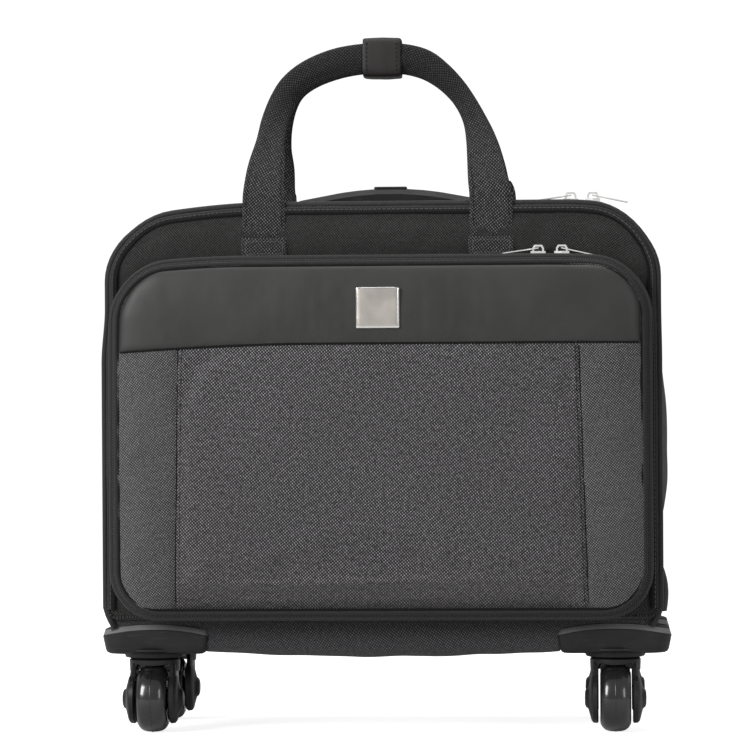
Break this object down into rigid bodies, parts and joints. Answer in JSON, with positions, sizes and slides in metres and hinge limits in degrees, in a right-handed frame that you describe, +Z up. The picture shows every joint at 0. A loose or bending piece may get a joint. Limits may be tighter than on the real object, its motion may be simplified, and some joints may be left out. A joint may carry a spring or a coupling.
{
  "type": "rolling laptop case",
  "caption": "Soft-sided rolling laptop case on swivel casters, with twin carry handles, a telescopic trolley handle, a hinged front half and a front zip pocket.",
  "frame": {"origin": "on the floor under the centre of the bounding box", "axes": "+X to the right seen from the front, front faces -Y, +Z up"},
  "size_m": [0.458, 0.216, 0.5659],
  "materials": {
    "body_cloth": "black woven polyester",
    "ballistic": "grey-black ballistic nylon with pale threads",
    "smooth_band": "smooth matt coated trim",
    "piping": "black cord and zip tape",
    "webbing": "black woven webbing",
    "cuff_leather": "smooth dark leather, stitched",
    "housing_plastic": "fine-textured dark grey moulding",
    "wheel_rubber": "glossy black moulded wheel",
    "chrome_zip": "polished zinc",
    "satin_badge": "satin plate, plain face",
    "steel": "zinc-plated pin",
    "tube_aluminium": "anodised tube",
    "lining_board": "stiff board",
    "grip_plastic": "black moulded grip"
  },
  "bodies": {
    "case": {"rear_shell": "body_cloth", "bottom_tray": "body_cloth", "base_board": "lining_board", "back_board": "lining_board", "laptop_divider": "body_cloth", "main_zip_chain": "piping", "rear_guard_left": "housing_plastic", "rear_guard_right": "housing_plastic", "rear_piping": "piping", "trolley_foot_bar": "housing_plastic", "trolley_bezel": "housing_plastic", "trolley_outer_tube_left": "tube_aluminium", "trolley_outer_tube_right": "tube_aluminium", "wheel_housing_front_left": "housing_plastic", "wheel_housing_front_right": "housing_plastic", "wheel_housing_rear_left": "housing_plastic", "wheel_housing_rear_right": "housing_plastic"},
    "lid": {"lid_shell": "body_cloth", "lid_piping": "piping", "pocket_gusset": "ballistic", "front_strap_patch_left": "webbing", "front_strap_patch_right": "webbing"},
    "pocket": {"pocket_panel": "ballistic", "pocket_piping": "piping", "smooth_band": "smooth_band", "badge_plate": "satin_badge"},
    "front_handle": {"front_strap": "webbing", "cuff_front_half": "cuff_leather"},
    "rear_handle": {"rear_strap": "webbing", "cuff_rear_half": "cuff_leather"},
    "trolley_stage_one": {"trolley_middle_tube_left": "tube_aluminium", "trolley_middle_tube_right": "tube_aluminium"},
    "trolley_stage_two": {"trolley_inner_tube_left": "tube_aluminium", "trolley_inner_tube_right": "tube_aluminium", "trolley_grip": "grip_plastic"},
    "button": {"release_button": "housing_plastic"},
    "slider_main_left": {"slider_main_left": "chrome_zip"},
    "pull_main_left": {"pull_main_left": "chrome_zip"},
    "slider_main_right": {"slider_main_right": "chrome_zip"},
    "pull_main_right": {"pull_main_right": "chrome_zip"},
    "slider_pocket_left": {"slider_pocket_left": "chrome_zip"},
    "pull_pocket_left": {"pull_pocket_left": "chrome_zip"},
    "slider_pocket_right": {"slider_pocket_right": "chrome_zip"},
    "pull_pocket_right": {"pull_pocket_right": "chrome_zip"},
    "caster_front_left": {"caster_fork_front_left": "housing_plastic", "swivel_stem_front_left": "steel", "axle_front_left": "grip_plastic"},
    "wheel_front_left": {"wheel_front_left": "wheel_rubber"},
    "caster_front_right": {"caster_fork_front_right": "housing_plastic", "swivel_stem_front_right": "steel", "axle_front_right": "grip_plastic"},
    "wheel_front_right": {"wheel_front_right": "wheel_rubber"},
    "caster_rear_left": {"caster_fork_rear_left": "housing_plastic", "swivel_stem_rear_left": "steel", "axle_rear_left": "grip_plastic"},
    "wheel_rear_left": {"wheel_rear_left": "wheel_rubber"},
    "caster_rear_right": {"caster_fork_rear_right": "housing_plastic", "swivel_stem_rear_right": "steel", "axle_rear_right": "grip_plastic"},
    "wheel_rear_right": {"wheel_rear_right": "wheel_rubber"}
  },
  "joints": [
    {"name": "lid_hinge", "type": "hinge", "parent": "case", "child": "lid", "pos_m": [0, -0.0742, 0.089], "axis": [1, 0, 0], "range_deg": [0, 70]},
    {"name": "pocket_hinge", "type": "hinge", "parent": "lid", "child": "pocket", "pos_m": [0, -0.0892, 0.0918], "axis": [1, 0, 0], "range_deg": [0, 30]},
    {"name": "front_strap_hinge", "type": "hinge", "parent": "lid", "child": "front_handle", "pos_m": [0, -0.0778, 0.4015], "axis": [1, 0, 0], "range_deg": [0, 85]},
    {"name": "rear_strap_hinge", "type": "hinge", "parent": "case", "child": "rear_handle", "pos_m": [0, 0.0416, 0.4283], "axis": [-1, 0, 0], "range_deg": [0, 85]},
    {"name": "stage_one_slide", "type": "slide", "parent": "case", "child": "trolley_stage_one", "axis": [0, 0, 1], "range_m": [0, 0.27]},
    {"name": "stage_two_slide", "type": "slide", "parent": "trolley_stage_one", "child": "trolley_stage_two", "axis": [0, 0, 1], "range_m": [0, 0.27]},
    {"name": "button_press", "type": "slide", "parent": "trolley_stage_two", "child": "button", "axis": [0, 0, -1], "range_m": [0, 0.003], "stiffness_N_per_m": 400, "springref_m": -0.002},
    {"name": "zip_main_left", "type": "slide", "parent": "case", "child": "slider_main_left", "axis": [-1, 0, 0], "range_m": [0, 0.302]},
    {"name": "pull_tab_main_left", "type": "hinge", "parent": "slider_main_left", "child": "pull_main_left", "pos_m": [0.154, -0.0389, 0.4349], "axis": [0, 1, 0], "range_deg": [0, 100]},
    {"name": "zip_main_right", "type": "hinge", "parent": "case", "child": "slider_main_right", "pos_m": [0.172, -0.0389, 0.375], "axis": [0, 1, 0], "range_deg": [0, 90]},
    {"name": "pull_tab_main_right", "type": "hinge", "parent": "slider_main_right", "child": "pull_main_right", "pos_m": [0.172, -0.0389, 0.4349], "axis": [0, -1, 0], "range_deg": [0, 100]},
    {"name": "zip_pocket_left", "type": "slide", "parent": "lid", "child": "slider_pocket_left", "axis": [-1, 0, 0], "range_m": [0, 0.258]},
    {"name": "pull_tab_pocket_left", "type": "hinge", "parent": "slider_pocket_left", "child": "pull_pocket_left", "pos_m": [0.128, -0.084, 0.3904], "axis": [0, 1, 0], "range_deg": [0, 100]},
    {"name": "zip_pocket_right", "type": "slide", "parent": "lid", "child": "slider_pocket_right", "axis": [1, 0, 0], "range_m": [0, 0.02]},
    {"name": "pull_tab_pocket_right", "type": "hinge", "parent": "slider_pocket_right", "child": "pull_pocket_right", "pos_m": [0.147, -0.084, 0.3904], "axis": [0, -1, 0], "range_deg": [0, 100]},
    {"name": "swivel_front_left", "type": "hinge", "parent": "case", "child": "caster_front_left", "pos_m": [-0.188, -0.046, 0.06], "axis": [0, 0, 1], "continuous": true},
    {"name": "spin_front_left", "type": "hinge", "parent": "caster_front_left", "child": "wheel_front_left", "pos_m": [-0.188, -0.058, 0.027], "axis": [1, 0, 0], "continuous": true},
    {"name": "swivel_front_right", "type": "hinge", "parent": "case", "child": "caster_front_right", "pos_m": [0.188, -0.046, 0.06], "axis": [0, 0, 1], "continuous": true},
    {"name": "spin_front_right", "type": "hinge", "parent": "caster_front_right", "child": "wheel_front_right", "pos_m": [0.188, -0.058, 0.027], "axis": [1, 0, 0], "continuous": true},
    {"name": "swivel_rear_left", "type": "hinge", "parent": "case", "child": "caster_rear_left", "pos_m": [-0.188, 0.078, 0.06], "axis": [0, 0, 1], "continuous": true},
    {"name": "spin_rear_left", "type": "hinge", "parent": "caster_rear_left", "child": "wheel_rear_left", "pos_m": [-0.188, 0.066, 0.027], "axis": [1, 0, 0], "continuous": true},
    {"name": "swivel_rear_right", "type": "hinge", "parent": "case", "child": "caster_rear_right", "pos_m": [0.188, 0.078, 0.06], "axis": [0, 0, 1], "continuous": true},
    {"name": "spin_rear_right", "type": "hinge", "parent": "caster_rear_right", "child": "wheel_rear_right", "pos_m": [0.188, 0.066, 0.027], "axis": [1, 0, 0], "continuous": true}
  ]
}
